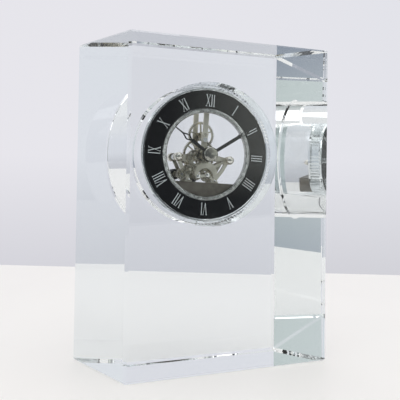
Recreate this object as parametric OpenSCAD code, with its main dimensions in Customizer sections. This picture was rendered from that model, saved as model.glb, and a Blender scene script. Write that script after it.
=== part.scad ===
// Crystal desk clock: a slanted glass block with a skeleton movement in a round bore.
// Millimetres, +Z up, front toward -Y, origin at the middle of the block's underside.
// Depths are counted from the bore's flat end toward the back.

/* [Crystal block] */
// Width of the front face
block_w = 98; // [90:1:110]
// Thickness from the front face to the back face
block_d = 36; // [34:0.5:44]
// Height
block_h = 150; // [145:1:180]
// How far the back face stands to the left of the front face
block_slant = 18; // [12:1:22]
// Polished bevel along every edge
edge_bevel = 1.0; // [0.5:0.1:1.6]
// How far the dial's axis stands to the right of the block's middle
dial_x = -0.7; // [-2:0.1:2]
// Height of the dial's axis above the table
dial_z = 98; // [90:1:105]
// Radius of the bore that holds the movement
bore_r = 32.9; // [32:0.1:34]
// Depth of the bore, from its flat end to the back face
bore_depth = 29.5; // [28.5:0.1:30.5]
// Ground bevel on the bore's rear rim
rim_bevel = 0.8; // [0.4:0.1:1.2]

/* [Dial] */
// How far the round insert sits turned clockwise in its bore, in degrees
insert_turn = 3; // [0:1:6]
// Depth of the black chapter ring's face
dial_depth = 6.5; // [6:0.1:7]
// Width of the clear gasket ring round the outer cup
spacer_wall = 1.5; // [1.2:0.1:1.8]
// Length of the clear gasket ring
spacer_len = 5; // [3:0.5:6]
// Wall of the outer cup
bezel_wall = 1.1; // [1:0.1:1.4]
// Depth of the outer cup, front to back
bezel_t = 7.4; // [6:0.2:9]
// Height of the cup's lip above the chapter ring
lip_rise = 0.6; // [0.4:0.1:0.8]
// Inner radius of the chapter ring
chapter_in_r = 21.7; // [21:0.1:22]
// Thickness of the chapter ring
chapter_t = 0.8; // [0.6:0.1:1]
// Width of the polished ring inside the chapter ring
inner_ring_w = 2.1; // [1.5:0.1:2.3]
// Thickness of the web that carries the chapter ring
web_t = 1.0; // [0.8:0.1:1.2]

/* [Hands] */
// Length of the minute hand from the axis
minute_len = 28.2; // [24:0.2:29]
// Length of the hour hand from the axis
hour_len = 20.4; // [17:0.2:21]
// Width of the hands' bars at the hub
hand_w = 1.15; // [0.9:0.05:1.5]
// Width of the hour hand's open lozenge
hour_lozenge_w = 2.8; // [2.2:0.1:3.2]
// Width of the minute hand's open lozenge
minute_lozenge_w = 2.4; // [2:0.1:3]
// Thickness of the hands
hand_t = 0.3; // [0.2:0.05:0.4]
// Height of the minute hand above the dial
hand_rise = 5.0; // [4.6:0.1:5.2]
// Step from the minute hand back to the hour hand
hand_step = 1.6; // [1:0.1:2]
// Radius of the polished cap on the hands' axis
cap_r = 3.3; // [2.6:0.1:3.6]
// Minutes shown
show_minute = 9.3; // [0:0.1:60]
// Hours shown
show_hour = 10; // [0:1:11]
// How far the hour hand is pressed on behind its true place, in degrees
hour_slip = 1.6; // [0:0.1:3]

/* [Gear train] */
// Tooth module of every wheel
tooth_module = 0.25; // [0.245:0.0025:0.255]
// Teeth of the centre wheel
centre_teeth = 66; // [64:1:67]
// Leaves of the intermediate pinion, which meshes with the centre wheel
mid_leaves = 14; // [13:1:15]
// Teeth of the intermediate wheel
mid_teeth = 24; // [22:1:24]
// Leaves of the drive gear on the motor
drive_teeth = 14; // [13:1:15]
// Leaves of the centre pinion, which turns the upper wheel
centre_leaves = 26; // [25:1:27]
// Teeth of the upper wheel
upper_teeth = 52; // [50:1:53]
// Leaves of the cannon pinion
cannon_leaves = 10; // [10:1:10]
// Teeth of the minute wheel
minute_teeth = 30; // [30:1:30]
// Leaves of the minute wheel's pinion
minute_leaves = 8; // [8:1:8]
// Teeth of the hour wheel
hour_teeth = 32; // [32:1:32]
// Teeth of the idler between the minute wheel and the setting wheel
idler_teeth = 18; // [17:1:19]
// Teeth of the setting wheel
set_teeth = 20; // [18:1:21]
// Thickness of the wheels
wheel_t = 0.8; // [0.6:0.1:0.9]
// Radius of the arbors
arbor_r = 0.6; // [0.5:0.05:0.65]

/* [Movement frame] */
// Thickness of the bridges
bridge_t = 1.0; // [0.8:0.1:1.1]
// Space between the bridges
bridge_space = 7.1; // [6.6:0.1:7.6]
// Distance of the pillars from the upright middle line
pillar_x = 12.8; // [12:0.1:13]
// Drop of the pillars below the dial's axis
pillar_drop = 1.8; // [1.4:0.1:2.4]
// Radius of the polished balls on the pillars
ball_r = 2.1; // [1.8:0.1:2.3]
// Radius of the pillars
pillar_r = 0.9; // [0.8:0.1:1]
// Width of the two straps that hang the frame
strap_w = 2.4; // [2:0.1:3]
// Thickness of the straps
strap_t = 1.0; // [0.8:0.1:1.2]
// Length of the front strap's foot behind the web
strap_lift = 2.4; // [2.2:0.1:2.8]
// How far the rear strap stands to the left of the front strap
strap_shift = 1.8; // [1.5:0.1:2]
// Width of the bridges' arms
arm_w = 2.0; // [1.6:0.1:2.4]
// Width of the bridges' legs
leg_w = 1.7; // [1.4:0.1:2]
// Distance of the legs' feet from the upright middle line
leg_x = 6.6; // [6:0.2:7]
// Greatest width of the arch over the intermediate wheel
arch_w = 3.0; // [2.4:0.1:3.2]

/* [Base and power] */
// Drop from the dial's axis to the top of the base
base_drop = 13.1; // [13:0.1:13.6]
// Half width of the base
base_half_w = 17; // [15:0.5:18]
// Wall of the base
base_wall = 1.2; // [0.9:0.1:1.4]
// Radius of the button cell
cell_r = 5.8; // [5.6:0.1:5.9]
// Thickness of the button cell
cell_t = 5.4; // [3.6:0.2:5.6]
// Thickness of the battery hatch
hatch_t = 1.2; // [1:0.1:1.6]
// Width of the coin slot in the hatch
slot_w = 1.2; // [0.8:0.1:1.6]
// Thickness of the circuit board
board_t = 1.0; // [0.8:0.1:1.6]
// Height of the sprung contact between the board and the cell
contact_h = 2.2; // [1.6:0.1:2.6]
// Radius of the motor drum
motor_r = 3.0; // [2.6:0.1:3.1]
// Radius of the setting knob
knob_r = 2.6; // [2.2:0.1:2.8]

/* [Rear cover] */
// Thickness of the clear cover that closes the bore
cover_t = 2.4; // [1.8:0.2:2.6]
// Radius of the two finger notches in the cover
notch_r = 4; // [3:0.5:5]

/* [Clearances] */
// Running clearance between an arbor and its hole, on the radius
run_gap = 0.05; // [0.03:0.01:0.07]
// Clearance between the cannon pinion and the hour tube, on the radius
tube_gap = 0.1; // [0.06:0.01:0.1]
// Fitting clearance round the gasket and the cover, on the radius
fit_gap = 0.15; // [0.1:0.05:0.2]
// Clearance between pieces that seat in one another
seat_gap = 0.05; // [0.03:0.01:0.08]
// Gap between wheels and the plates beside them
side_gap = 0.4; // [0.3:0.05:0.5]
// Gap between the rear cover and what stands before it
cover_gap = 0.6; // [0.4:0.1:0.8]

/* [Hidden] */
$fn = 96;
// Reach of a cut past the faces that it goes through
through = 1;
end_y = block_d / 2 - bore_depth;
front_y = -block_d / 2;
front_left_x = -(block_w - block_slant) / 2;
// Insert, from the gasket inward
spacer_r = bore_r - fit_gap;
bezel_r = spacer_r - spacer_wall - seat_gap;
bezel_in_r = bezel_r - bezel_wall;
bezel_depth = dial_depth - lip_rise;
chapter_r = bezel_in_r - seat_gap;
web_depth = dial_depth + chapter_t;
web_back = web_depth + web_t;
inner_ring_r = chapter_in_r - inner_ring_w;
inner_ring_rise = 0.5;
inner_ring_depth = dial_depth - inner_ring_rise;
inner_ring_t = web_back - inner_ring_depth;
// Depths of the straps and the bridges
strap_depth = web_back + strap_lift;
front_bridge_depth = strap_depth + strap_t;
rear_bridge_depth = front_bridge_depth + bridge_t + bridge_space;
rear_bridge_back = rear_bridge_depth + bridge_t;
cover_depth = bore_depth - rim_bevel - cover_t;
inside_back = cover_depth - cover_gap;
// How far the arbors' ends stand inside the bridge's face and the knob's
arbor_set = 0.1;
knob_set = 0.5;
// Bore of a wheel that is one piece with its arbor, so that the two join
root_gap = 0.1;
joined_r = arbor_r - root_gap;
free_r = arbor_r + run_gap;
// Depths of the hands and of the layers of the train
minute_hand_depth = dial_depth - hand_rise;
hour_hand_depth = minute_hand_depth + hand_step;
minute_layer = front_bridge_depth - side_gap - wheel_t;
hour_layer = minute_layer - side_gap - wheel_t;
mid_layer = front_bridge_depth + bridge_t + 4 * side_gap;
centre_layer = rear_bridge_depth - 1.5 * side_gap - wheel_t;
upper_layer = centre_layer - 1.5 * side_gap - wheel_t;
arbor_back = rear_bridge_back - arbor_set;
// Tube sizes round the centre arbor
tube_wall = 0.4;
cannon_r = arbor_r + tube_wall;
hour_tube_in = cannon_r + tube_gap;
hour_tube_r = hour_tube_in + tube_wall;
// Places of the arbors, as [x, z] from the dial's axis
centre_at = [0, 0];
upper_dir = 90;
upper_at = polar(tooth_module * (upper_teeth + centre_leaves) / 2, upper_dir);
mid_dir = 286;
mid_at = polar(tooth_module * (centre_teeth + mid_leaves) / 2, mid_dir);
drive_dir = 190;
drive_at = mid_at + polar(tooth_module * (mid_teeth + drive_teeth) / 2, drive_dir);
motion_dir = 200;
motion_at = polar(tooth_module * (cannon_leaves + minute_teeth) / 2, motion_dir);
idler_dir = 251;
idler_at = motion_at + polar(tooth_module * (minute_teeth + idler_teeth) / 2, idler_dir);
set_dir = 213;
set_at = idler_at + polar(tooth_module * (idler_teeth + set_teeth) / 2, set_dir);
left_pillar = [-pillar_x, -pillar_drop];
right_pillar = [pillar_x, -pillar_drop];
// Play of the pillars in their holes, and the length of their ends outside the bridges
pillar_gap = 0.02;
pillar_end = 1;
// Tooth phases, so that every pair of wheels meshes
centre_phase = 0;
mid_phase = meshed(mid_dir, centre_teeth, centre_phase, mid_leaves);
drive_phase = meshed(drive_dir, mid_teeth, mid_phase, drive_teeth);
upper_phase = meshed(upper_dir, centre_leaves, centre_phase, upper_teeth);
minute_phase = meshed(motion_dir, cannon_leaves, centre_phase, minute_teeth);
hour_phase = meshed(motion_dir + 180, minute_leaves, minute_phase, hour_teeth);
idler_phase = meshed(idler_dir, minute_teeth, minute_phase, idler_teeth);
set_phase = meshed(set_dir, idler_teeth, idler_phase, set_teeth);
// Bosses round the bearings in the bridges and the front strap
boss_r = 1.5;
// Arch over the intermediate wheel: the opening, and the round back set above it
eye_shift = [-1.1, -0.4];
eye_room = 0.75;
eye_at = mid_at + eye_shift;
eye_r = tooth_module * mid_teeth / 2 + eye_room;
arch_shift = 0.25;
arch_lift = arch_w / 3;
arch_at = eye_at + [arch_shift, arch_lift];
arch_r = eye_r + arch_w - arch_lift;
arch_end_drop = 0.7;
arch_end_z = mid_at[1] - arch_end_drop;
// Bends and feet of the right leg, which the left leg mirrors
knee_in = 3;
knee_drop = 5.5;
ankle_out = 0.7;
ankle_rise = 2.5;
knee = [pillar_x - knee_in, -pillar_drop - knee_drop];
ankle = [leg_x + ankle_out, -base_drop + ankle_rise];
foot_at = [leg_x, -base_drop + leg_w / 2];
foot_w = 3.2;
foot_h = 0.8;
// Straps and their screws
strap_below = 3.8;
strap_rim = 2;
strap_foot = upper_at[1] - strap_below;
strap_top = bezel_in_r - strap_rim;
strap_pad = strap_top - chapter_in_r - seat_gap;
screw_r = 0.6;
screw_head_r = 1.1;
screw_head_t = 0.5;
screw_z = strap_foot + screw_head_r + seat_gap;
screw_gap = 0.02;
// Base and cell
base_depth = web_back;
base_gap = 0.3;
pocket_gap = 0.2;
hatch_rim = 0.7;
board_gap = 0.15;
base_round = bezel_in_r - base_gap;
pocket_r = cell_r + pocket_gap;
hatch_r = pocket_r + hatch_rim;
cell_z = -(base_drop + base_wall + pocket_r);
cell_depth = inside_back - hatch_t - cell_t;
board_depth = cell_depth - contact_h - board_t;
slot_len = hatch_r;
// Motor and knob behind the rear bridge
motor_mid = (rear_bridge_back + inside_back) / 2;
lug_dir = 95;
lug_w = 2.4;
lug_reach = 0.7 * lug_w;
motor_lug_at = drive_at + polar(motor_r + lug_reach, lug_dir);
knob_depth = rear_bridge_back + side_gap;

// A point at a distance and an angle from the dial's axis
function polar(r, a) = [r * cos(a), r * sin(a)];

// Phase of wheel B, with zb teeth, that meshes with wheel A lying opposite the direction a
function meshed(a, za, phase_a, zb) = a + 180 - 180 / zb + (a - phase_a) * za / zb;

// Outline of a toothed wheel: root, flank, tip, tip, flank, root for each tooth
function tooth_points(z, phase) = [
    for (k = [0 : z - 1])
        for (p = [[-0.3, -1.2], [-0.2, 0], [-0.09, 0.85], [0.09, 0.85], [0.2, 0], [0.3, -1.2]])
            polar(tooth_module * (z / 2 + p[1]), phase + (k + p[0]) * 360 / z)];

// Moves children to the dial's axis, with the insert's turn
module on_axis() {
    translate([dial_x, 0, dial_z])
        rotate([0, insert_turn, 0])
            children();
}

// Extrudes a drawing in X and Z from one depth backward
module slab(depth, thick) {
    translate([0, end_y + depth + thick, 0])
        rotate([90, 0, 0])
            linear_extrude(thick)
                children();
}

// A round bar along the depth at one place
module rod(place, r, from_depth, to_depth) {
    translate([place[0], end_y + to_depth, place[1]])
        rotate([90, 0, 0])
            cylinder(r = r, h = to_depth - from_depth);
}

// Turned shape round the axis, from points of [radius, depth]
module turned(depth) {
    translate([0, end_y + depth, 0])
        rotate([-90, 0, 0])
            rotate_extrude()
                children();
}

// Ring in X and Z between two radii
module ring_slab(r_out, r_in, depth, thick) {
    slab(depth, thick)
        difference() {
            circle(r_out);
            circle(r_in);
        }
}

// Straight bar with round ends between two places, drawn in the plane
module bar(from_at, to_at, w) {
    reach = to_at - from_at;
    translate(from_at)
        rotate(atan2(reach[1], reach[0])) {
            translate([0, -w / 2])
                square([norm(reach), w]);
            circle(w / 2);
            translate([norm(reach), 0])
                circle(w / 2);
        }
}

// Toothed wheel with spokes, round a hole
module wheel(z, phase, depth, hub_r, hole_r, spokes = 5, rim_w = 0.75) {
    spoke_w = 0.6;
    root_r = tooth_module * (z / 2 - 1.2);
    open_r = root_r - rim_w;
    slab(depth, wheel_t)
        difference() {
            polygon(tooth_points(z, phase));
            difference() {
                circle(open_r);
                circle(hub_r);
                for (k = [0 : spokes - 1])
                    rotate(phase + k * 360 / spokes)
                        translate([0, -spoke_w / 2])
                            square([open_r + rim_w / 2, spoke_w]);
            }
            circle(hole_r);
        }
}

// Solid toothed pinion round a hole
module pinion(z, phase, depth, thick, hole_r) {
    slab(depth, thick)
        difference() {
            polygon(tooth_points(z, phase));
            circle(hole_r);
        }
}

// Plan of the block with its four upright edges bevelled
module block_plan() {
    b = edge_bevel;
    s = block_slant;
    len = norm([s, block_d]);
    along = [-s, block_d] / len * b;
    fl = [front_left_x, front_y];
    fr = [front_left_x + block_w, front_y];
    bl = [front_left_x - s, -front_y];
    br = [front_left_x + block_w - s, -front_y];
    polygon([fl + [b, 0], fr - [b, 0], fr + along, br - along, br - [b, 0], bl + [b, 0],
        bl - along, fl + along]);
}

// Rectangle with its four corners cut at 45 degrees, centred on x and standing on y = 0
module bevelled(w, h, b) {
    polygon([[-w / 2 + b, 0], [w / 2 - b, 0], [w / 2, b], [w / 2, h - b], [w / 2 - b, h],
        [-w / 2 + b, h], [-w / 2, h - b], [-w / 2, b]]);
}

module crystal_block() {
    lean = atan2(block_slant, block_d);
    across = block_w * cos(lean);
    color([0.85, 0.9, 0.92, 0.35])
        difference() {
            intersection() {
                linear_extrude(block_h)
                    block_plan();
                translate([-block_w, 0, 0])
                    rotate([90, 0, 90])
                        linear_extrude(2 * block_w)
                            bevelled(block_d, block_h, edge_bevel);
                rotate([0, 0, lean])
                    translate([0, block_w, 0])
                        rotate([90, 0, 0])
                            linear_extrude(2 * block_w)
                                bevelled(across, block_h, edge_bevel);
            }
            on_axis() {
                rod(centre_at, bore_r, 0, bore_depth + through);
                translate([0, end_y + bore_depth - rim_bevel, 0])
                    rotate([-90, 0, 0])
                        cylinder(r1 = bore_r, r2 = bore_r + 2 * rim_bevel, h = 2 * rim_bevel);
            }
        }
}

// Clear gasket ring that holds the cup in the bore, fluted outside
module spacer_ring() {
    flutes = 120;
    flute_deep = 0.3;
    color([0.93, 0.95, 0.96, 0.5])
        on_axis()
            slab(dial_depth, spacer_len)
                difference() {
                    polygon([
                        for (k = [0 : 2 * flutes - 1])
                            polar(spacer_r - (k % 2) * flute_deep, k * 180 / flutes)]);
                    circle(bezel_r + seat_gap, $fn = 360);
                }
}

// Outer cup with a bevelled lip, and the web that carries the chapter ring
module bezel_ring() {
    lip_w = 0.5;
    lip_in = 0.25;
    color([0.8, 0.81, 0.83])
        on_axis() {
            turned(bezel_depth)
                polygon([[bezel_in_r, lip_in], [bezel_in_r + lip_in, 0],
                    [bezel_in_r + lip_in + lip_w, 0], [bezel_r, bezel_wall - lip_w],
                    [bezel_r, bezel_t], [bezel_in_r, bezel_t]]);
            ring_slab(bezel_in_r + bezel_wall / 2, chapter_in_r + seat_gap, web_depth, web_t);
        }
}

module chapter_ring() {
    color([0.03, 0.03, 0.04])
        on_axis()
            ring_slab(chapter_r, chapter_in_r + seat_gap, dial_depth, chapter_t);
}

// Polished ring with a domed face round the open middle
module inner_ring() {
    mid_r = inner_ring_r + inner_ring_w / 2;
    color([0.82, 0.82, 0.83])
        on_axis()
            turned(inner_ring_depth)
                polygon([[inner_ring_r, 0.5], [inner_ring_r + 0.4, 0.1], [mid_r, 0],
                    [chapter_in_r - 0.3, 0.2], [chapter_in_r, 0.6],
                    [chapter_in_r, inner_ring_t], [inner_ring_r, inner_ring_t]]);
}

// One strap that hangs a bridge from the web, with a foot between two places across
module strap(x, depth, foot_from, foot_to) {
    difference() {
        union() {
            slab(depth, strap_t)
                translate([x - strap_w / 2, strap_foot])
                    square([strap_w, strap_top - strap_foot]);
            slab(web_back, depth - web_back)
                translate([foot_from, strap_top - strap_pad])
                    square([foot_to - foot_from, strap_pad]);
        }
        rod([x, screw_z], screw_r, depth - through, depth + strap_t + through);
    }
}

// Rear strap, fixed behind the rear bridge, with its foot beside the front strap's
module left_strap() {
    color([0.66, 0.65, 0.6])
        on_axis()
            strap(-strap_shift, rear_bridge_back, -strap_shift - strap_w / 2,
                -strap_w / 2 - seat_gap);
}

// Front strap, fixed before the front bridge, with the upper wheel's front bearing
module right_strap() {
    color([0.66, 0.65, 0.6])
        on_axis()
            difference() {
                union() {
                    strap(0, strap_depth, -strap_w / 2, strap_w / 2);
                    rod(upper_at, boss_r, strap_depth, strap_depth + strap_t);
                }
                rod(upper_at, free_r, strap_depth - through, front_bridge_depth + through);
            }
}

// Two screws that join the straps to the bridges
module frame_screws() {
    color([0.75, 0.75, 0.72])
        on_axis() {
            rod([0, screw_z], screw_r - screw_gap, strap_depth, front_bridge_depth + bridge_t);
            rod([0, screw_z], screw_head_r, strap_depth - screw_head_t, strap_depth);
            rod([-strap_shift, screw_z], screw_r - screw_gap, rear_bridge_depth,
                rear_bridge_back + strap_t);
            rod([-strap_shift, screw_z], screw_head_r, rear_bridge_back + strap_t,
                rear_bridge_back + strap_t + screw_head_t);
        }
}

// Crescent arch over the intermediate wheel, with flat ends level with its arbor
module arch() {
    difference() {
        translate(arch_at)
            circle(arch_r);
        translate(eye_at)
            circle(eye_r);
        translate([eye_at[0] - 2 * arch_r, arch_end_z - 4 * arch_r])
            square(4 * arch_r);
    }
}

// Both arms of a bridge, tapered from the hub to the pillars
module arms() {
    upper_z = -pillar_drop + 0.45 * arm_w;
    lower_z = -pillar_drop - 0.35 * arm_w;
    polygon([[0, 0.6 * arm_w], [pillar_x, upper_z], [pillar_x, lower_z], [0, -1.1 * arm_w],
        [-pillar_x, lower_z], [-pillar_x, upper_z]]);
}

// One side of a bridge: brace from the arch, and bent leg with its foot
module bridge_side(side) {
    brace_w = 1;
    pillar_boss = 1;
    pillar = [side * pillar_x, -pillar_drop];
    bar(arch_at + polar(arch_r - brace_w, 90 - side * 48), pillar, brace_w);
    mirror([side < 0 ? 1 : 0, 0]) {
        bar(right_pillar, knee, leg_w);
        bar(knee, ankle, leg_w);
        bar(ankle, foot_at, leg_w);
        translate([leg_x - foot_w / 2, -base_drop])
            square([foot_w, foot_h]);
    }
    translate(pillar)
        circle(pillar_r + pillar_boss);
}

// Upper half of a bridge: hub, arms, and the strap's neck at one place across
module bridge_top(strap_at) {
    hub_r = 3.4;
    neck_w = 2.6;
    screw_top = screw_z + screw_head_r;
    circle(hub_r);
    polygon([[-neck_w / 2, boss_r], [neck_w / 2, boss_r],
        [strap_at + strap_w / 2, strap_foot], [strap_at + strap_w / 2, screw_top],
        upper_at + [boss_r, 0], upper_at - [boss_r, 0],
        [strap_at - strap_w / 2, screw_top], [strap_at - strap_w / 2, strap_foot]]);
    translate(upper_at)
        circle(boss_r);
    arms();
}

// Lower half of a bridge: arch, braces, legs, and the links that carry the other bearings
module bridge_foot() {
    link_w = 1.3;
    difference() {
        union() {
            arch();
            bridge_side(-1);
            bridge_side(1);
            bar([leg_x, arch_end_z], foot_at, leg_w);
            bar(drive_at, mid_at, link_w);
            bar(mid_at, foot_at, link_w);
            bar(motion_at, idler_at, link_w);
            bar(idler_at, [-ankle[0], ankle[1]], link_w);
            for (place = [mid_at, drive_at, motion_at, idler_at, set_at])
                translate(place)
                    circle(boss_r);
        }
        translate([-bore_r, -base_drop - 2 * bore_r])
            square([2 * bore_r, 2 * bore_r]);
    }
}

// One bridge at a depth, with the holes for its pillars, its screw and the arbors
module bridge(depth, strap_at) {
    front = depth - through;
    back = depth + bridge_t + through;
    difference() {
        union() {
            slab(depth, bridge_t)
                bridge_top(strap_at);
            slab(depth, bridge_t)
                bridge_foot();
        }
        for (place = [left_pillar, right_pillar])
            rod(place, pillar_r + pillar_gap, front, back);
        rod([strap_at, screw_z], screw_r, front, back);
        for (place = [centre_at, upper_at, mid_at, drive_at, set_at])
            rod(place, free_r, front, back);
    }
}

module front_bridge() {
    color([0.68, 0.66, 0.6])
        on_axis() {
            bridge(front_bridge_depth, 0);
            rod(motion_at, arbor_r, hour_layer - side_gap / 2, front_bridge_depth + bridge_t / 2);
            rod(idler_at, arbor_r, minute_layer - side_gap, front_bridge_depth + bridge_t / 2);
        }
}

module rear_bridge() {
    color([0.6, 0.58, 0.53])
        on_axis()
            bridge(rear_bridge_depth, -strap_shift);
}

// Two pillars whose thick middle keeps the bridges apart
module pillars() {
    collar = 0.5;
    color([0.78, 0.77, 0.74])
        on_axis()
            for (place = [left_pillar, right_pillar]) {
                rod(place, pillar_r, front_bridge_depth - pillar_end, rear_bridge_back + pillar_end);
                difference() {
                    rod(place, pillar_r + collar, front_bridge_depth + bridge_t, rear_bridge_depth);
                    rod(place, pillar_r, front_bridge_depth, rear_bridge_depth + through);
                }
            }
}

// Balls on the pillars' ends, outside one bridge, each with a flat seat and a blind hole
module ball_pair(depth, side) {
    flat = 0.15;
    hole = pillar_end + seat_gap;
    cut = 2 * ball_r;
    color([0.85, 0.84, 0.82])
        on_axis()
            for (place = [left_pillar, right_pillar])
                difference() {
                    translate([place[0], end_y + depth + side * (ball_r - flat), place[1]])
                        sphere(ball_r);
                    rod(place, cut, depth - (side > 0 ? cut : 0), depth + (side > 0 ? 0 : cut));
                    rod(place, pillar_r + pillar_gap, depth - hole, depth + hole);
                }
}

module front_balls() {
    ball_pair(front_bridge_depth, -1);
}

module rear_balls() {
    ball_pair(rear_bridge_back, 1);
}

// Segment under the train that fills the foot of the cup
module base_outline(inset) {
    intersection() {
        circle(base_round - inset);
        translate([-base_half_w + inset, -base_round])
            square([2 * (base_half_w - inset), base_round - base_drop - inset]);
    }
}

module base_housing() {
    hollow_back = board_depth + board_t;
    color([0.55, 0.53, 0.5])
        on_axis()
            difference() {
                slab(base_depth, inside_back - base_depth)
                    base_outline(0);
                slab(base_depth + base_wall, hollow_back - base_depth - base_wall)
                    base_outline(base_wall);
                rod([0, cell_z], pocket_r, hollow_back - through, inside_back + through);
                rod([0, cell_z], hatch_r + seat_gap, inside_back - hatch_t, inside_back + through);
                rod(drive_at, motor_r + fit_gap, rear_bridge_back - fit_gap, inside_back + through);
            }
}

module circuit_board() {
    color([0.1, 0.35, 0.2])
        on_axis()
            slab(board_depth, board_t)
                base_outline(base_wall + board_gap);
}

module button_cell() {
    color([0.8, 0.8, 0.8])
        on_axis()
            rod([0, cell_z], cell_r, cell_depth, cell_depth + cell_t);
}

// Sprung contact between the board and the cell: a cup washer
module cell_contact() {
    wire = 0.5;
    rim_r = cell_r * 0.76;
    foot_r = cell_r * 0.2;
    color([0.85, 0.8, 0.6])
        on_axis()
            translate([0, 0, cell_z])
                turned(board_depth + board_t)
                    polygon([[foot_r, 0], [foot_r + wire, 0], [rim_r, contact_h - 0.1],
                        [rim_r, contact_h], [rim_r - wire, contact_h]]);
}

module battery_hatch() {
    color([0.45, 0.44, 0.42])
        on_axis()
            difference() {
                rod([0, cell_z], hatch_r, inside_back - hatch_t, inside_back);
                slab(inside_back - hatch_t / 2, hatch_t)
                    translate([-slot_len / 2, cell_z - slot_w / 2])
                        square([slot_len, slot_w]);
            }
}

// Closed stepping motor on a lug of the rear bridge
module motor_drum() {
    lug_t = 1;
    color([0.5, 0.5, 0.5])
        on_axis()
            difference() {
                union() {
                    rod(drive_at, motor_r, rear_bridge_back, inside_back);
                    slab(rear_bridge_back, lug_t)
                        bar(drive_at, motor_lug_at, lug_w);
                }
                rod(drive_at, free_r, rear_bridge_back - through, motor_mid);
            }
}

module drive_gear() {
    color([0.72, 0.7, 0.62])
        on_axis() {
            translate([drive_at[0], 0, drive_at[1]])
                pinion(drive_teeth, drive_phase, mid_layer - side_gap / 2, wheel_t + side_gap,
                    joined_r);
            rod(drive_at, arbor_r, front_bridge_depth, motor_mid - arbor_set);
        }
}

// Compound wheel: a spoked wheel in front and a pinion behind, on one arbor
module intermediate_wheel() {
    pinion_depth = centre_layer - side_gap / 2;
    color([0.74, 0.7, 0.6])
        on_axis() {
            translate([mid_at[0], 0, mid_at[1]]) {
                wheel(mid_teeth, mid_phase, mid_layer, 1.3, joined_r, 5, 0.65);
                ring_slab(arbor_r + tube_wall, joined_r, mid_layer + wheel_t,
                    pinion_depth - mid_layer - wheel_t);
                pinion(mid_leaves, mid_phase, pinion_depth, wheel_t + side_gap, joined_r);
            }
            rod(mid_at, arbor_r, front_bridge_depth, arbor_back);
        }
}

module centre_arbor() {
    color([0.7, 0.7, 0.68])
        on_axis()
            rod(centre_at, arbor_r, minute_hand_depth, arbor_back);
}

module centre_wheel() {
    color([0.75, 0.71, 0.6])
        on_axis()
            wheel(centre_teeth, centre_phase, centre_layer, 2.1, arbor_r, 5, 0.85);
}

module centre_pinion() {
    front = upper_layer - side_gap / 2;
    thick = wheel_t + side_gap;
    neck_r = 1.5;
    color([0.75, 0.71, 0.6])
        on_axis() {
            pinion(centre_leaves, centre_phase, front, thick, arbor_r);
            ring_slab(neck_r, arbor_r, front + thick, centre_layer - front - thick);
        }
}

// Spoked wheel between the straps, with a collar before it
module upper_wheel() {
    collar_w = 0.5;
    collar_t = 1.4;
    color([0.75, 0.71, 0.6])
        on_axis() {
            translate([upper_at[0], 0, upper_at[1]]) {
                wheel(upper_teeth, upper_phase, upper_layer, 1.6, joined_r, 5, 0.8);
                ring_slab(arbor_r + collar_w, joined_r, upper_layer - collar_t, collar_t);
            }
            rod(upper_at, arbor_r, strap_depth, arbor_back);
        }
}

module cannon_pinion() {
    tube_front = minute_hand_depth + hand_t;
    color([0.72, 0.7, 0.62])
        on_axis() {
            pinion(cannon_leaves, centre_phase, minute_layer, wheel_t + side_gap / 2, arbor_r);
            ring_slab(cannon_r, arbor_r, tube_front, minute_layer - tube_front);
        }
}

module minute_wheel() {
    color([0.76, 0.72, 0.6])
        on_axis()
            translate([motion_at[0], 0, motion_at[1]]) {
                wheel(minute_teeth, minute_phase, minute_layer, 1.3, free_r, 5, 0.55);
                pinion(minute_leaves, minute_phase, hour_layer, minute_layer - hour_layer,
                    free_r);
            }
}

module hour_wheel() {
    tube_front = hour_hand_depth + hand_t;
    color([0.76, 0.72, 0.6])
        on_axis() {
            wheel(hour_teeth, hour_phase, hour_layer, 2.2, hour_tube_in, 4, 0.6);
            ring_slab(hour_tube_r, hour_tube_in, tube_front, hour_layer - tube_front);
        }
}

module setting_idler() {
    color([0.76, 0.72, 0.6])
        on_axis()
            translate([idler_at[0], 0, idler_at[1]])
                wheel(idler_teeth, idler_phase, minute_layer, 1.2, free_r, 4, 0.4);
}

module setting_wheel() {
    color([0.76, 0.72, 0.6])
        on_axis()
            translate([set_at[0], 0, set_at[1]])
                wheel(set_teeth, set_phase, minute_layer, 1.2, arbor_r, 4, 0.5);
}

module setting_arbor() {
    color([0.7, 0.7, 0.68])
        on_axis()
            rod(set_at, arbor_r, minute_layer - side_gap, inside_back - knob_set);
}

// Knob with a grooved grip on the arbor's rear end
module setting_knob() {
    grooves = 16;
    groove_r = 0.25;
    color([0.2, 0.2, 0.21])
        on_axis()
            translate([set_at[0], 0, set_at[1]])
                difference() {
                    slab(knob_depth, inside_back - knob_depth)
                        difference() {
                            circle(knob_r);
                            for (k = [0 : grooves - 1])
                                translate(polar(knob_r, k * 360 / grooves))
                                    circle(groove_r, $fn = 24);
                        }
                    rod([0, 0], arbor_r, knob_depth - through, inside_back - knob_set);
                }
}

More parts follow.
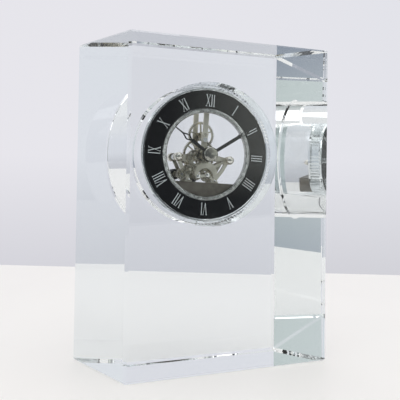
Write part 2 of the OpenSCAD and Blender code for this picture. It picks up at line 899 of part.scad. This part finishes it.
// Hand of a tapered bar, a knot, an open lozenge and a fine tip, pointing up before it is turned
module hand_outline(reach, lozenge_from, lozenge_to, lozenge_w, hub_r, hole_r) {
    stroke_w = 0.45;
    neck_w = hand_w * 0.72;
    knot_r = hand_w * 0.6;
    mid = (lozenge_from + lozenge_to) / 2;
    half = lozenge_w / 2;
    open_half = half - stroke_w * 1.1;
    difference() {
        union() {
            circle(hub_r);
            polygon([[-hand_w / 2, 0], [hand_w / 2, 0], [neck_w / 2, lozenge_from],
                [-neck_w / 2, lozenge_from]]);
            translate([0, lozenge_from])
                circle(knot_r, $fn = 32);
            polygon([[0.2, lozenge_from], [half, mid - 0.3], [half, mid + 0.3],
                [stroke_w / 2, lozenge_to], [stroke_w / 3, reach], [-stroke_w / 3, reach],
                [-stroke_w / 2, lozenge_to], [-half, mid + 0.3], [-half, mid - 0.3],
                [-0.2, lozenge_from]]);
        }
        polygon([[0, lozenge_from + 1], [open_half, mid], [0, lozenge_to - 0.8],
            [-open_half, mid]]);
        circle(hole_r);
    }
}

module hour_hand() {
    color([0.04, 0.04, 0.05])
        on_axis()
            slab(hour_hand_depth, hand_t)
                rotate(hour_slip - (show_hour + show_minute / 60) * 30)
                    hand_outline(hour_len, hour_len * 0.5, hour_len * 0.785, hour_lozenge_w,
                        cap_r + 0.2, hour_tube_in);
}

module minute_hand() {
    color([0.04, 0.04, 0.05])
        on_axis()
            slab(minute_hand_depth, hand_t)
                rotate(-show_minute * 6)
                    hand_outline(minute_len, minute_len * 0.59, minute_len * 0.785,
                        minute_lozenge_w, 3 * arbor_r, arbor_r);
}

// Polished domed cap on the minute hand
module hand_cap() {
    cap_t = minute_hand_depth - 0.4;
    color([0.85, 0.85, 0.86])
        on_axis()
            turned(minute_hand_depth - cap_t)
                polygon([[0, 0], [cap_r * 0.6, cap_t * 0.08], [cap_r * 0.9, cap_t * 0.3],
                    [cap_r, cap_t * 0.6], [cap_r, cap_t], [0, cap_t]]);
}

// Clear disc with two finger notches that closes the bore
module rear_cover() {
    cover_r = bore_r - fit_gap;
    color([0.9, 0.93, 0.95, 0.4])
        on_axis()
            slab(cover_depth, cover_t)
                difference() {
                    circle(cover_r);
                    for (side = [-1, 1])
                        translate([0, side * (cover_r + notch_r * 0.4)])
                            circle(notch_r);
                }
}

crystal_block();
spacer_ring();
bezel_ring();
chapter_ring();
inner_ring();
left_strap();
right_strap();
front_bridge();
rear_bridge();
pillars();
front_balls();
rear_balls();
frame_screws();
base_housing();
circuit_board();
button_cell();
cell_contact();
battery_hatch();
motor_drum();
drive_gear();
intermediate_wheel();
centre_arbor();
centre_wheel();
centre_pinion();
upper_wheel();
cannon_pinion();
minute_wheel();
hour_wheel();
setting_idler();
setting_wheel();
setting_arbor();
setting_knob();
hour_hand();
minute_hand();
hand_cap();
rear_cover();
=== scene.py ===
"""Looks of the crystal desk clock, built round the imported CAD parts.

World places are in metres, +Z up, front toward -Y. Measures in mm are turned into metres by MM.
"""

import math
from collections import namedtuple

import bmesh
import bpy
from mathutils import Matrix, Vector


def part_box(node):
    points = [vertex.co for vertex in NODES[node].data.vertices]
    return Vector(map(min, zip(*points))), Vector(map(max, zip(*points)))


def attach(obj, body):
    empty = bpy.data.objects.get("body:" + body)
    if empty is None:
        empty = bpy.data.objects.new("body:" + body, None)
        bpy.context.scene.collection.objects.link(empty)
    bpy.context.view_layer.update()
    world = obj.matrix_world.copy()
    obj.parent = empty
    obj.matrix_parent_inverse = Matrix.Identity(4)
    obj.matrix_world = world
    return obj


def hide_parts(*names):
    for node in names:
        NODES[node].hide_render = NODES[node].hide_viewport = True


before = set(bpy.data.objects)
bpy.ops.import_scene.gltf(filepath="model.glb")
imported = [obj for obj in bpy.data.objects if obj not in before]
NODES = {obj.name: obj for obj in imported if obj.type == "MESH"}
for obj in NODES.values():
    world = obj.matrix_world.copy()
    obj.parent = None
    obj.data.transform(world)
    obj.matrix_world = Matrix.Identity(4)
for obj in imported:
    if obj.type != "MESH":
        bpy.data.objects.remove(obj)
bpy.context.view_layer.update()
MM = 0.001

# Places read from the CAD solids, and the insert's turn in its bore

ring_low, ring_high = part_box("chapter_ring")
DIAL = Vector(((ring_low.x + ring_high.x) / 2, ring_low.y, (ring_low.z + ring_high.z) / 2))
BRIDGE_FRONT_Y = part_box("right_strap")[1].y
INSERT_TURN = math.radians(3)

# Turn of the dial per hour and per minute, in degrees
HOUR_STEP = 30
MINUTE_STEP = 6


# Places, objects and meshes


def insert_point(x, z, turn=INSERT_TURN):
    """World X and Z of a place given in mm from the dial's axis."""
    return (DIAL.x + (x * math.cos(turn) + z * math.sin(turn)) * MM,
            DIAL.z + (-x * math.sin(turn) + z * math.cos(turn)) * MM)


def ring_points(radius, count):
    """Places evenly round the origin."""
    steps = [2 * math.pi * k / count for k in range(count)]
    return [(radius * math.cos(angle), radius * math.sin(angle)) for angle in steps]


def add_object(name, data):
    thing = bpy.data.objects.new(name, data)
    bpy.context.scene.collection.objects.link(thing)
    return thing


def add_piece(name, mesh, material, body):
    """Object with one material, which rides on a body."""
    mesh.materials.clear()
    mesh.materials.append(material)
    piece = add_object(name, mesh)
    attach(piece, body)
    return piece


def finish_mesh(bm, name):
    """Mesh made from a finished bmesh, with its faces turned outward."""
    bmesh.ops.recalc_face_normals(bm, faces=bm.faces)
    mesh = bpy.data.meshes.new(name)
    bm.to_mesh(mesh)
    bm.free()
    return mesh


# Node trees

# Socket numbers of the colour inputs and the colour output of a Mix node
MIX_FIRST = 6
MIX_SECOND = 7
MIX_RESULT = 2


class Tree:
    """Node tree of a material or of the world, with short calls to add and link nodes."""

    def __init__(self, owner, output_kind):
        owner.use_nodes = True
        self.owner = owner
        self.nodes = owner.node_tree.nodes
        self.links = owner.node_tree.links
        self.nodes.clear()
        self.output = self.add(output_kind)

    def add(self, kind, **values):
        node = self.nodes.new(kind)
        for key, value in values.items():
            setattr(node, key, value)
        return node

    def link(self, source, target):
        self.links.new(source, target)

    def feed(self, target, value):
        """Links a socket to a target, or gives the target a plain value."""
        if hasattr(value, "is_linked"):
            self.link(value, target)
        else:
            target.default_value = value

    def coords(self, kind):
        return self.add("ShaderNodeTexCoord").outputs[kind]

    def axes(self, vector):
        """X, Y and Z of a vector."""
        split = self.add("ShaderNodeSeparateXYZ")
        self.link(vector, split.inputs["Vector"])
        return split.outputs

    def calc(self, operation, a, b=0.0):
        node = self.add("ShaderNodeMath", operation=operation)
        self.feed(node.inputs[0], a)
        self.feed(node.inputs[1], b)
        return node.outputs["Value"]

    def map_range(self, value, from_low, from_high, to_low=0.0, to_high=1.0):
        node = self.add("ShaderNodeMapRange")
        limits = {"From Min": from_low, "From Max": from_high, "To Min": to_low, "To Max": to_high}
        for name, limit in limits.items():
            node.inputs[name].default_value = limit
        self.link(value, node.inputs["Value"])
        return node.outputs["Result"]

    def spread(self, share, low, high):
        """Takes a share from 0 to 1 to a value between two limits."""
        return self.map_range(share, 0.0, 1.0, low, high)

    def noise(self, scale, detail, roughness=0.5, stretch=(1, 1, 1)):
        mapping = self.add("ShaderNodeMapping")
        mapping.inputs["Scale"].default_value = stretch
        self.link(self.coords("Object"), mapping.inputs["Vector"])
        node = self.add("ShaderNodeTexNoise")
        node.inputs["Scale"].default_value = scale
        node.inputs["Detail"].default_value = detail
        node.inputs["Roughness"].default_value = roughness
        self.link(mapping.outputs["Vector"], node.inputs["Vector"])
        return node.outputs["Fac"]

    def ramp(self, share, stops):
        """Colour that runs through stops, each a place from 0 to 1 and a colour."""
        node = self.add("ShaderNodeValToRGB")
        elements = node.color_ramp.elements
        while len(elements) < len(stops):
            elements.new(0.5)
        for element, (place, colour) in zip(elements, stops):
            element.position = place
            element.color = (*colour, 1)
        self.link(share, node.inputs["Fac"])
        return node.outputs["Color"]

    def mix_colour(self, share, first, second):
        node = self.add("ShaderNodeMix", data_type="RGBA")
        self.link(share, node.inputs["Factor"])
        self.feed(node.inputs[MIX_FIRST], first)
        self.feed(node.inputs[MIX_SECOND], second)
        return node.outputs[MIX_RESULT]

    def bump(self, height, strength, distance):
        node = self.add("ShaderNodeBump")
        node.inputs["Strength"].default_value = strength
        node.inputs["Distance"].default_value = distance
        self.link(height, node.inputs["Height"])
        return node.outputs["Normal"]

    def principled(self, **sockets):
        """Main shader on the output. A socket's name is written with _ for its spaces."""
        node = self.add("ShaderNodeBsdfPrincipled")
        for name, value in sockets.items():
            self.feed(node.inputs[name.replace("_", " ")], value)
        self.link(node.outputs["BSDF"], self.output.inputs["Surface"])
        return node


def material_tree(name):
    return Tree(bpy.data.materials.new(name), "ShaderNodeOutputMaterial")


# Materials, with noise scales per metre and bump depths in metres

FINE_DEPTH = 0.00002
GRAIN_DEPTH = 0.00003
BEAD_DEPTH = 0.00025
SHADOW_TINT = (0.97, 0.975, 0.975, 1)
# Stretch of the grain on a level brushed plate, and on an arbor turned in a lathe
LEVEL_GRAIN = (1, 1, 12)
TURNED_GRAIN = (1, 14, 1)
WARM_DARK = (0.42, 0.38, 0.29)
WARM_LIGHT = (0.80, 0.76, 0.64)
STEEL_DARK = (0.42, 0.42, 0.41)
STEEL_LIGHT = (0.75, 0.75, 0.74)


def metal(name, dark, light, rough=(0.12, 0.3), grain=(1, 1, 1), bump=0.15):
    """Plated or polished metal with fine grain, uneven colour and handling haze."""
    t = material_tree(name)
    patches = t.noise(180, 3)
    fine = t.noise(2500, 5, 0.6, grain)
    t.principled(
        Base_Color=t.ramp(patches, [(0.3, dark), (0.7, light)]),
        Roughness=t.spread(fine, *rough),
        Metallic=1.0,
        Normal=t.bump(fine, bump, FINE_DEPTH),
    )
    return t.owner


def crystal(name, tint, ior=1.52, rough=0.0):
    """Clear polished glass that lets light through to what it holds."""
    t = material_tree(name)
    glass = t.principled(
        Base_Color=(*tint, 1),
        Roughness=rough,
        IOR=ior,
        Transmission_Weight=1.0,
    )
    clear = t.add("ShaderNodeBsdfTransparent")
    clear.inputs["Color"].default_value = SHADOW_TINT
    mix = t.add("ShaderNodeMixShader")
    path = t.add("ShaderNodeLightPath")
    t.link(path.outputs["Is Shadow Ray"], mix.inputs[0])
    t.link(glass.outputs["BSDF"], mix.inputs[1])
    t.link(clear.outputs["BSDF"], mix.inputs[2])
    t.link(mix.outputs["Shader"], t.output.inputs["Surface"])
    return t.owner


def gloss_black(name, tone):
    """Black enamel with a faint orange peel and fine dust."""
    t = material_tree(name)
    peel = t.noise(900, 2)
    dust = t.noise(6000, 6, 0.7)
    t.principled(
        Base_Color=t.ramp(dust, [(0.45, (tone, tone, tone * 1.2)), (0.8, (tone * 2.2,) * 3)]),
        Roughness=t.spread(dust, 0.08, 0.2),
        Normal=t.bump(peel, 0.05, FINE_DEPTH),
        Specular_IOR_Level=0.25,
    )
    return t.owner


def moulded(name, colour):
    """Moulded plastic with a fine spark-eroded grain."""
    t = material_tree(name)
    grain = t.noise(4000, 4, 0.6)
    shade = tuple(c * 1.3 + 0.01 for c in colour)
    t.principled(
        Base_Color=t.ramp(t.noise(150, 2), [(0.35, colour), (0.65, shade)]),
        Roughness=t.spread(grain, 0.35, 0.55),
        Normal=t.bump(grain, 0.25, GRAIN_DEPTH),
    )
    return t.owner


def beaded_chrome(name, beads):
    """Polished ring with a rope of fine beads round it."""
    t = material_tree(name)
    x, y, z = t.axes(t.coords("Object"))
    angle = t.calc("ARCTAN2", t.calc("SUBTRACT", z, DIAL.z), t.calc("SUBTRACT", x, DIAL.x))
    wave = t.calc("SINE", t.calc("MULTIPLY", angle, float(beads)))
    uneven = t.noise(700, 3)
    t.principled(
        Base_Color=t.ramp(uneven, [(0.3, (0.24, 0.24, 0.23)), (0.7, (0.58, 0.58, 0.56))]),
        Roughness=t.spread(uneven, 0.08, 0.22),
        Metallic=1.0,
        Normal=t.bump(wave, 0.6, BEAD_DEPTH),
    )
    return t.owner


def dress_nodes():
    """Gives each CAD node its material."""
    plated = metal("plated_wheels", WARM_DARK, WARM_LIGHT)
    bridge = metal("bridge_steel", (0.6, 0.57, 0.48), (0.8, 0.77, 0.67), (0.42, 0.56),
                   LEVEL_GRAIN)
    # The rear bridge takes a darker copy of the bridge steel: painted shade for the bridge that
    # sits deep behind the front bridge and wheels
    rear_painted_shade = metal("rear_bridge_painted_shade", (0.34, 0.32, 0.26), (0.5, 0.47, 0.39), (0.25, 0.4),
                 LEVEL_GRAIN)
    chrome = metal("chrome", (0.7, 0.7, 0.7), (0.88, 0.88, 0.88), (0.03, 0.09), bump=0.04)
    warm_chrome = metal("warm_chrome", (0.62, 0.58, 0.52), (0.86, 0.82, 0.75), (0.04, 0.1),
                        bump=0.04)
    steel = metal("arbor_steel", STEEL_DARK, STEEL_LIGHT, (0.1, 0.22), TURNED_GRAIN)
    looks = {
        "crystal_block": crystal("block_crystal", (0.9, 0.933, 0.948)),
        "spacer_ring": crystal("spacer_clear", (0.97, 0.98, 0.98), 1.49, 0.02),
        "rear_cover": crystal("cover_clear", (0.98, 0.99, 0.99), 1.49),
        "bezel_ring": chrome,
        "inner_ring": beaded_chrome("inner_ring_beads", 180),
        "chapter_ring": gloss_black("chapter_enamel", 0.003),
        "rear_bridge": rear_painted_shade,
        "frame_screws": chrome,
        "base_housing": metal("housing_plate", (0.12, 0.108, 0.09), (0.24, 0.218, 0.185),
                              (0.3, 0.5)),
        "circuit_board": moulded("solder_mask", (0.01, 0.06, 0.025)),
        "button_cell": metal("cell_steel", STEEL_DARK, STEEL_LIGHT, (0.2, 0.35)),
        "cell_contact": metal("contact_plate", (0.5, 0.4, 0.18), (0.8, 0.66, 0.35), (0.15, 0.3)),
        "battery_hatch": moulded("hatch_plastic", (0.05, 0.05, 0.05)),
        "motor_drum": moulded("motor_plastic", (0.07, 0.07, 0.07)),
        "setting_knob": moulded("knob_plastic", (0.015, 0.015, 0.016)),
        "hand_cap": metal("cap_metal", (0.29, 0.28, 0.24), (0.44, 0.42, 0.37), (0.08, 0.18),
                          bump=0.06),
    }
    shared = {
        bridge: ("left_strap", "right_strap", "front_bridge"),
        warm_chrome: ("front_balls", "rear_balls"),
        steel: ("pillars", "centre_arbor", "setting_arbor", "cannon_pinion"),
        plated: ("drive_gear", "intermediate_wheel", "centre_wheel", "centre_pinion", "upper_wheel",
                 "minute_wheel", "hour_wheel", "setting_idler", "setting_wheel"),
    }
    for material, names in shared.items():
        looks.update((name, material) for name in names)
    for name, material in looks.items():
        slots = NODES[name].material_slots
        if not slots:
            NODES[name].data.materials.append(material)
        for slot in slots:
            slot.material = material


# Numerals, in mm

NUMERALS = ["I", "II", "III", "IIII", "V", "VI", "VII", "VIII", "IX", "X", "XI", "XII"]
NUMERAL_H = 5.6
NUMERAL_R = 25.4
NUMERAL_MAX_W = 6.2
LETTER_W = {"I": 1.15, "V": 2.3, "X": 2.4}
STROKE = 0.36
HAIR = 0.2
SERIF = 0.14
INSET = 0.35
V_RIGHT_INSET = 0.3
# Half lengths of the serifs, on the thick stroke and on the hairline
I_SERIF = 0.36
V_SERIF = (0.52, 0.4)
X_SERIF = (0.5, 0.42)
# Height above the ring, and the small step between strokes that cross
NUMERAL_T = 0.06
STEP_T = 0.004
STEPS = 5


def stroke(x0, z0, x1, z1, width):
    """Four corners of a stroke whose ends are cut level."""
    half = width / 2
    return [(x0 - half, z0), (x0 + half, z0), (x1 + half, z1), (x1 - half, z1)]


def serif(x, z, half, up):
    """Slim serif bar at a stroke's end."""
    top = z + SERIF if up else z - SERIF
    return [(x - half, z), (x + half, z), (x + half, top), (x - half, top)]


def letter(kind, x):
    """Quads of one Roman letter whose left edge is at x, standing from 0 to NUMERAL_H."""
    h = NUMERAL_H
    w = LETTER_W[kind]
    mid = x + w / 2
    left = x + INSET
    if kind == "I":
        return [stroke(mid, 0, mid, h, STROKE),
                serif(mid, 0, I_SERIF, True), serif(mid, h, I_SERIF, False)]
    if kind == "V":
        thick, thin = V_SERIF
        right = x + w - V_RIGHT_INSET
        return [stroke(left, h, mid, 0, STROKE), stroke(mid, 0, right, h, HAIR),
                serif(left, h, thick, False), serif(right, h, thin, False)]
    thick, thin = X_SERIF
    right = x + w - INSET
    return [stroke(left, h, right, 0, STROKE), stroke(left, 0, right, h, HAIR),
            serif(left, h, thick, False), serif(right, 0, thick, True),
            serif(left, 0, thin, True), serif(right, h, thin, False)]


def word_quads(word):
    """Quads of one numeral, centred on x = 0 and no wider than NUMERAL_MAX_W."""
    width = sum(LETTER_W[kind] for kind in word)
    squeeze = min(1.0, NUMERAL_MAX_W / width)
    x = -width / 2
    quads = []
    for kind in word:
        quads += letter(kind, x)
        x += LETTER_W[kind]
    return [[(px * squeeze, pz) for px, pz in quad] for quad in quads]


def add_numerals():
    """Silver Roman numerals as thin raised strokes, with the clockmaker's four."""
    name = "dial_numerals"
    bm = bmesh.new()
    for hour, word in enumerate(NUMERALS, start=1):
        turn = INSERT_TURN + math.radians(HOUR_STEP * hour)
        for level, quad in enumerate(word_quads(word)):
            lift = NUMERAL_T + STEP_T * (level % STEPS)
            front = []
            back = []
            for px, pz in quad:
                x, z = insert_point(px, NUMERAL_R + pz - NUMERAL_H / 2, turn)
                front.append(bm.verts.new((x, DIAL.y - lift * MM, z)))
                back.append(bm.verts.new((x, DIAL.y, z)))
            bm.faces.new(front)
            for k in range(4):
                after = (k + 1) % 4
                bm.faces.new((front[k], back[k], back[after], front[after]))
    t = material_tree("numeral_silver")
    fine = t.noise(3000, 3)
    t.principled(
        Base_Color=t.ramp(fine, [(0.3, (0.72, 0.75, 0.75)), (0.7, (0.88, 0.9, 0.9))]),
        Roughness=t.spread(fine, 0.35, 0.5),
    )
    add_piece(name, finish_mesh(bm, name), t.owner, "case")


# Hands, in mm and degrees

# Time that the hands show, and how far the hour hand lags behind it
HOUR = 10
MINUTE = 9.3
HOUR_SLIP = 1.6
MINUTE_TURN = MINUTE * MINUTE_STEP
HOUR_TURN = (HOUR + MINUTE / 60) * HOUR_STEP - HOUR_SLIP
# Half widths of the bar, of the lozenge's top and of the tip
BAR_HALF = 0.75
NECK_HALF = 0.34
TIP_HALF = 0.24
# Half width and height of each point on the knot's outline, from the lozenge's foot
KNOT = [(0.82, -0.6), (1.1, -0.1), (1.0, 0.25), (0.45, 0.6)]
# Half height of the blunt corners at the lozenge's sides
BLUNT_HALF = 0.3
# Width of the lozenge's sides, and the height of its solid foot and top
OPEN_SIDE = 0.5
OPEN_FOOT = 1.1
OPEN_TOP = 0.8
# Points round the hub and round the hole, and the size of the softened edges
HUB_STEPS = 40
HOLE_STEPS = 32
EDGE = 0.05

Hand = namedtuple("Hand", "node body degrees reach lozenge_from lozenge_to lozenge_w hub_r hole_r")
HANDS = [
    Hand("minute_hand", "minute_train", MINUTE_TURN, 28.2, 16.64, 22.14, 2.4, 1.8, 0.6),
    Hand("hour_hand", "hour_train", HOUR_TURN, 20.4, 10.2, 16.01, 2.8, 3.5, 1.1),
]


def hand_loops(hand):
    """Closed outlines of a hand that points up: its outside, its open lozenge and its hole."""
    foot = hand.lozenge_from
    top = hand.lozenge_to
    mid = (foot + top) / 2
    half = hand.lozenge_w / 2
    open_half = half - OPEN_SIDE
    bar_foot = math.sqrt(hand.hub_r ** 2 - BAR_HALF ** 2)
    side = [(BAR_HALF, bar_foot)]
    side += [(x, foot + rise) for x, rise in KNOT]
    side += [(half, mid - BLUNT_HALF), (half, mid + BLUNT_HALF)]
    side += [(NECK_HALF, top), (TIP_HALF, hand.reach)]
    start = math.atan2(bar_foot, BAR_HALF)
    sweep = math.pi + 2 * start
    angles = [math.pi - start + sweep * k / HUB_STEPS for k in range(1, HUB_STEPS)]
    hub = [(hand.hub_r * math.cos(angle), hand.hub_r * math.sin(angle)) for angle in angles]
    outside = side + [(-x, z) for x, z in reversed(side)] + hub
    lozenge = [(0, foot + OPEN_FOOT), (open_half, mid), (0, top - OPEN_TOP), (-open_half, mid)]
    return [outside, lozenge, ring_points(hand.hole_r, HOLE_STEPS)]


def hand_mesh(hand):
    """Flat hand as thick as its CAD solid, with softened edges, turned to its time."""
    name = hand.node + "_outline"
    low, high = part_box(hand.node)
    middle_y = (low.y + high.y) / 2
    curve = bpy.data.curves.new(name, "CURVE")
    curve.dimensions = "2D"
    curve.fill_mode = "BOTH"
    curve.extrude = (high.y - low.y) / MM / 2 - EDGE
    curve.bevel_depth = EDGE
    curve.bevel_resolution = 2
    curve.offset = -EDGE
    for loop in hand_loops(hand):
        spline = curve.splines.new("POLY")
        spline.points.add(len(loop) - 1)
        spline.use_cyclic_u = True
        for point, (x, z) in zip(spline.points, loop):
            point.co = (x, z, 0, 1)
    shape = add_object(name, curve)
    bpy.context.view_layer.update()
    mesh = bpy.data.meshes.new_from_object(shape)
    bpy.data.objects.remove(shape)
    turn = INSERT_TURN + math.radians(hand.degrees)
    for vertex in mesh.vertices:
        x, z, depth = vertex.co
        world_x, world_z = insert_point(x, z, turn)
        vertex.co = (world_x, middle_y - depth * MM, world_z)
    return mesh


def add_hands():
    """Black enamelled hands with an open lozenge."""
    enamel = gloss_black("hand_enamel", 0.002)
    for hand in HANDS:
        piece = add_piece(hand.node + "_enamel", hand_mesh(hand), enamel, hand.body)
        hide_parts(hand.node)


# Caps on the front bridge, in mm

# Share of the radius and of the height, from near the middle to the rim
CAP_PROFILE = [(0.35, 0.95), (0.65, 0.78), (0.85, 0.52), (0.96, 0.25), (1.0, 0.0)]
CAP_STEPS = 28
BEARING_CAP = (1.2, 0.55)
SCREW_HEAD = (0.72, 0.35)
CAPS = [
    ("cap_intermediate", 2.76, -9.61, BEARING_CAP),
    ("cap_drive", -1.92, -10.44, BEARING_CAP),
    ("screw_foot_right", 6.6, -12.1, SCREW_HEAD),
    ("screw_foot_left", -6.6, -12.1, SCREW_HEAD),
]


def cap_mesh(name, x, z, radius, height):
    """Domed cap with a flat base, lathed from the profile."""
    cap_x, cap_z = insert_point(x, z)
    bm = bmesh.new()
    rings = []
    for share, rise in CAP_PROFILE:
        y = BRIDGE_FRONT_Y - rise * height * MM
        rings.append([bm.verts.new((cap_x + px * MM, y, cap_z + pz * MM))
                      for px, pz in ring_points(share * radius, CAP_STEPS)])
    tip = bm.verts.new((cap_x, BRIDGE_FRONT_Y - height * MM, cap_z))
    for k in range(CAP_STEPS):
        after = (k + 1) % CAP_STEPS
        bm.faces.new((tip, rings[0][after], rings[0][k]))
        for inner, outer in zip(rings, rings[1:]):
            bm.faces.new((inner[k], inner[after], outer[after], outer[k]))
    bm.faces.new(list(reversed(rings[-1])))
    mesh = finish_mesh(bm, name)
    for face in mesh.polygons:
        face.use_smooth = len(face.vertices) < CAP_STEPS
    return mesh


def add_caps():
    """Caps over the train's front bearings, and screw heads on the bridge's feet."""
    polish = metal("cap_polish", (0.8, 0.79, 0.76), (0.95, 0.94, 0.92), (0.03, 0.08), bump=0.03)
    for name, x, z, size in CAPS:
        add_piece(name, cap_mesh(name, x, z, *size), polish, "case")


# Table, in mm: it ends short of the wall behind the clock and at its left, and runs past the camera

TABLE_Z = -0.05
TABLE_CORNER = Vector((-175, 310, TABLE_Z))
TABLE_ALONG = Vector((0.925, -0.38, 0)) * 1500
TABLE_ACROSS = Vector((-0.38, -0.925, 0)) * 760
TABLE_DARK = (0.87, 0.845, 0.825)
TABLE_LIGHT = (0.89, 0.865, 0.845)


def add_table():
    """Pale table with a soft gloss, under and before the clock."""
    t = material_tree("table_top")
    t.principled(
        Base_Color=t.ramp(t.noise(9, 2), [(0.3, TABLE_DARK), (0.7, TABLE_LIGHT)]),
        Roughness=t.spread(t.noise(60, 3), 0.28, 0.38),
    )
    far_right = TABLE_CORNER + TABLE_ALONG
    corners = [TABLE_CORNER + TABLE_ACROSS, far_right + TABLE_ACROSS, far_right, TABLE_CORNER]
    mesh = bpy.data.meshes.new("table")
    mesh.from_pydata([corner * MM for corner in corners], [], [(0, 1, 2, 3)])
    mesh.materials.append(t.owner)
    add_object("table", mesh)


# Room, whose tones are set by direction, from the camera's side at 0 to behind the clock at 1

ROOM_BELOW = [(0.0, (0.05, 0.055, 0.07)), (0.1, (0.1, 0.11, 0.13)), (0.38, (0.255, 0.29, 0.355)),
              (0.62, (0.5, 0.51, 0.56)), (0.85, (0.60, 0.60, 0.64)), (1.0, (0.62, 0.62, 0.67))]
ROOM_ABOVE = [(0.0, (0.10, 0.105, 0.115)), (0.1, (0.2, 0.21, 0.21)), (0.38, (0.55, 0.61, 0.6)),
              (0.62, (0.74, 0.76, 0.8)), (0.85, (0.765, 0.77, 0.82)), (1.0, (0.80, 0.79, 0.835))]
OPENING_TONE = (0.92, 0.94, 0.88, 1)
CEILING_TONE = (0.8, 0.8, 0.8, 1)
# Ranges of a direction's X, Y or Z over which one tone gives way to the next
HORIZON_Z = (-0.25, 0.03)
OPENING_X = (0.27, 0.5)
OPENING_Y = (-0.1, -0.4)
OPENING_Z = (-0.05, 0.03)
CEILING_Z = (0.35, 0.9)


def add_room():
    """Soft room: pale wall behind, grey-blue sides, dim front, bright opening at the right."""
    world = bpy.data.worlds.new("room")
    bpy.context.scene.world = world
    t = Tree(world, "ShaderNodeOutputWorld")
    x, y, z = t.axes(t.coords("Generated"))
    depth = t.map_range(y, -1, 1)
    horizon = t.map_range(z, *HORIZON_Z)
    walls = t.mix_colour(horizon, t.ramp(depth, ROOM_BELOW), t.ramp(depth, ROOM_ABOVE))
    right = t.map_range(x, *OPENING_X)
    front = t.map_range(y, *OPENING_Y)
    above = t.map_range(z, *OPENING_Z)
    opening = t.calc("MULTIPLY", t.calc("MULTIPLY", right, front), above)
    room = t.mix_colour(opening, walls, OPENING_TONE)
    upward = t.map_range(z, *CEILING_Z)
    background = t.add("ShaderNodeBackground")
    t.link(t.mix_colour(upward, room, CEILING_TONE), background.inputs["Color"])
    t.link(background.outputs["Background"], t.output.inputs["Surface"])


def soft_light(name, at, aim, size, power, colour):
    """Soft box at a place in mm, aimed at another. Its size is in metres, its power in watts."""
    data = bpy.data.lights.new(name, "AREA")
    data.shape = "RECTANGLE"
    data.size, data.size_y = size
    data.energy = power
    data.color = colour
    light = add_object(name, data)
    light.location = Vector(at) * MM
    light.rotation_euler = (Vector(aim) * MM - light.location).to_track_quat("-Z", "Y").to_euler()


def add_lights():
    soft_light("top_box", (-180, -200, 1500), (-60, -60, 0), (1.7, 1.7), 8.8, (1, 1, 1))
    soft_light("right_box", (900, -400, 1300), (0, 0, 80), (0.7, 0.9), 2.6, (1, 0.98, 0.95))


# Camera, solved from the photograph, with its place in mm

CAMERA_AT = Vector((-79.4, -225.1, 89.3)) * MM
CAMERA_YAW = math.radians(19.05)
CAMERA_PITCH = math.radians(1.13)
CAMERA_ROLL = math.radians(0.85)
CAMERA_NEAR = 10 * MM
SENSOR_MM = 36
FOCAL_PX = 496
HORIZON_PX = 163.3
IMAGE_PX = 400


def add_camera():
    """Camera at the photograph's viewing angle."""
    level = Vector((math.cos(CAMERA_YAW), -math.sin(CAMERA_YAW), 0))
    ahead = Vector((math.sin(CAMERA_YAW), math.cos(CAMERA_YAW), 0))
    forward = ahead * math.cos(CAMERA_PITCH) + Vector((0, 0, math.sin(CAMERA_PITCH)))
    upright = level.cross(forward)
    right = level * math.cos(CAMERA_ROLL) + upright * math.sin(CAMERA_ROLL)
    up = upright * math.cos(CAMERA_ROLL) - level * math.sin(CAMERA_ROLL)
    data = bpy.data.cameras.new("camera")
    data.sensor_width = SENSOR_MM
    data.lens = FOCAL_PX / IMAGE_PX * SENSOR_MM
    data.shift_y = (HORIZON_PX - IMAGE_PX / 2) / IMAGE_PX
    data.clip_start = CAMERA_NEAR
    camera = add_object("camera", data)
    camera.matrix_world = Matrix((
        (right.x, up.x, -forward.x, CAMERA_AT.x),
        (right.y, up.y, -forward.y, CAMERA_AT.y),
        (right.z, up.z, -forward.z, CAMERA_AT.z),
        (0, 0, 0, 1)))
    bpy.context.scene.camera = camera


def allow_deep_paths():
    """Lets light pass through the crystal's many faces."""
    cycles = bpy.context.scene.cycles
    cycles.max_bounces = 24
    cycles.transmission_bounces = 20
    cycles.glossy_bounces = 12


dress_nodes()
add_numerals()
add_hands()
add_caps()
add_table()
add_room()
add_lights()
add_camera()
allow_deep_paths()
bpy.context.scene.view_settings.view_transform = "Standard"
